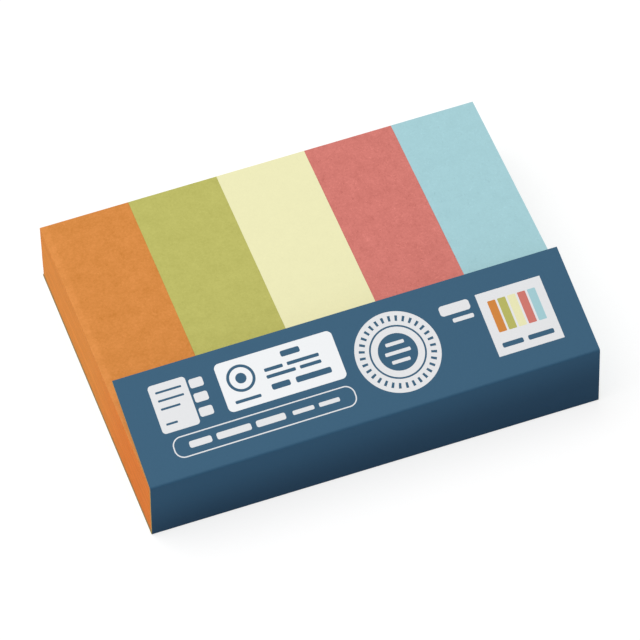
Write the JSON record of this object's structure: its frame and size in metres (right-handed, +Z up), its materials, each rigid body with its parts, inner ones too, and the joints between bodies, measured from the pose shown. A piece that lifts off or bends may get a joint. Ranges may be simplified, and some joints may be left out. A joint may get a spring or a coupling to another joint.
{
  "type": "sticky index tab set",
  "caption": "Narrow pads of sticky paper page markers, side by side in a creased cover card whose flap folds back over their glued ends.",
  "frame": {"origin": "middle of the object's box at the level it rests on, which is the underside of the card", "axes": "+X along the row of pads from the orange one to the blue one, +Y along the markers from the creased front of the card to their free ends, +Z up"},
  "size_m": [0.0636, 0.045, 0.0148],
  "materials": {
    "orange_paper": "matte",
    "green_paper": "matte",
    "yellow_paper": "matte",
    "red_paper": "matte",
    "blue_paper": "matte",
    "printed_card": "satin"
  },
  "bodies": {
    "root": {"pad_orange": "orange_paper", "pad_green": "green_paper", "pad_yellow": "yellow_paper", "pad_red": "red_paper", "pad_blue": "blue_paper", "cover_card": "printed_card"}
  },
  "joints": []
}
